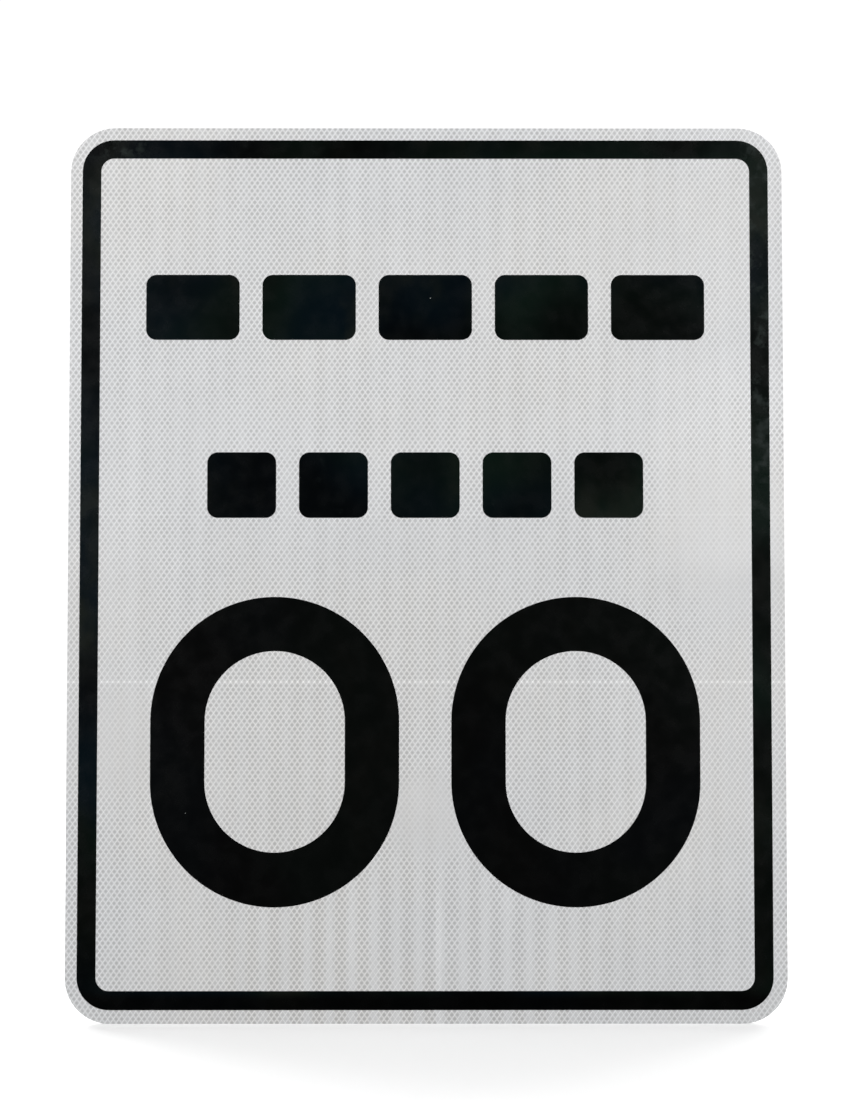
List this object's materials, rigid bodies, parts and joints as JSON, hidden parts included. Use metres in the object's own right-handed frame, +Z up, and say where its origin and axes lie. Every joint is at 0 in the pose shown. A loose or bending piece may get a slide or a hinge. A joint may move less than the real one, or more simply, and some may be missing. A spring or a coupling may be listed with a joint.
{
  "type": "road sign panel",
  "caption": "Upright rectangular road sign panel with rounded corners: aluminium blank, white prismatic sheeting, black border band and cut film legend.",
  "frame": {"origin": "centre of the blank's back face", "axes": "+Z up along the panel's height, +X across its width, +Y out of the back face; the legend faces -Y"},
  "size_m": [0.6096, 0.0025, 0.762],
  "materials": {
    "aluminium": "satin mill finish with a pale conversion coat",
    "adhesive": "clear tacky acrylic",
    "backing_film": "matt white",
    "prism_film": "semi-gloss, with a diamond lattice of sealed cells",
    "black_film": "semi-gloss black"
  },
  "bodies": {
    "root": {"aluminium_blank": "aluminium", "sheeting_adhesive": "adhesive", "sheeting_backing_film": "backing_film", "sheeting_prism_film": "prism_film", "border_band": "black_film", "legend_row1_piece_1": "black_film", "legend_row1_piece_2": "black_film", "legend_row1_piece_3": "black_film", "legend_row1_piece_4": "black_film", "legend_row1_piece_5": "black_film", "legend_row2_piece_1": "black_film", "legend_row2_piece_2": "black_film", "legend_row2_piece_3": "black_film", "legend_row2_piece_4": "black_film", "legend_row2_piece_5": "black_film", "numeral_left": "black_film", "numeral_right": "black_film"}
  },
  "joints": []
}
